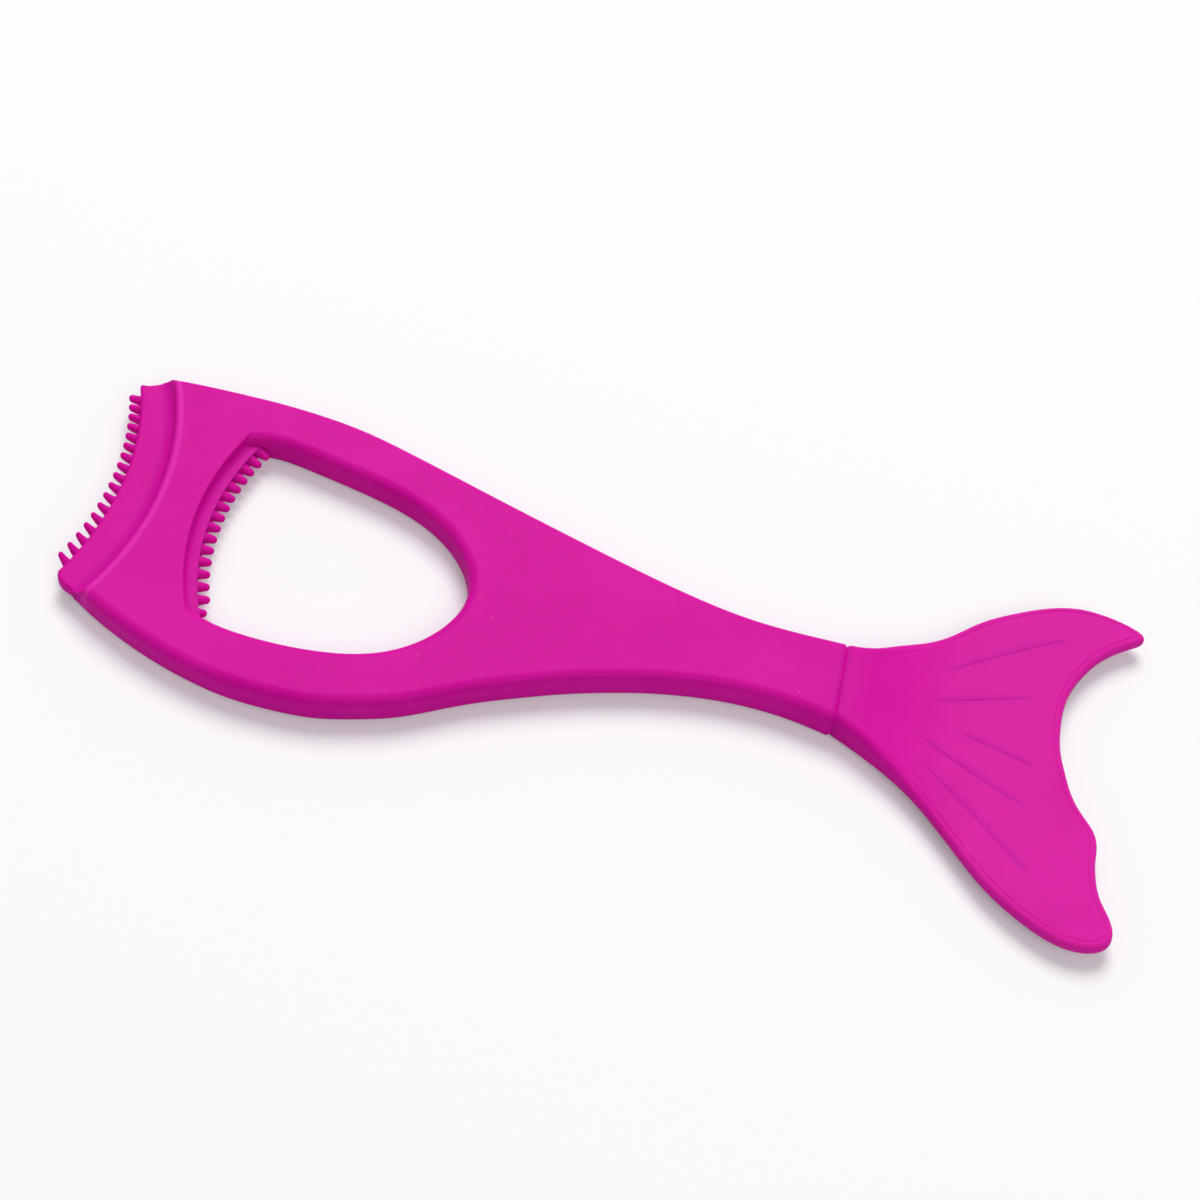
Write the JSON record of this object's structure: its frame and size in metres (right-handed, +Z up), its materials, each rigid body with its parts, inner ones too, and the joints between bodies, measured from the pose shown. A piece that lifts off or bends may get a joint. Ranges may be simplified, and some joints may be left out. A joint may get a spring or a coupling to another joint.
{
  "type": "eyeliner application tool",
  "caption": "Flat silicone eyeliner tool in the shape of a fish tail, with an open frame to hold and trace, two combs of short round teeth, and a thin flexing fin with raised rays.",
  "frame": {"origin": "under the middle of the overall box, on the plane that the frame lies on", "axes": "+X along the tool from the combs to the fin, +Y across it, +Z up"},
  "size_m": [0.1236, 0.0474, 0.0042],
  "materials": {
    "silicone": "matt magenta silicone"
  },
  "bodies": {
    "handle": {"handle_frame": "silicone", "outer_comb_blade": "silicone", "outer_comb_teeth": "silicone", "inner_comb_blade": "silicone", "inner_comb_teeth": "silicone", "wrist_neck": "silicone"},
    "fin": {"tail_fin": "silicone", "fin_edge_lip": "silicone", "fin_rays": "silicone"}
  },
  "joints": [
    {"name": "fin_flex", "type": "hinge", "parent": "handle", "child": "fin", "pos_m": [0.02746, 0.00248, 0.0021], "axis": [0, 1, 0], "range_deg": [-15, 15], "stiffness_Nm_per_rad": 0.05, "deforming": ["wrist_neck"]}
  ]
}
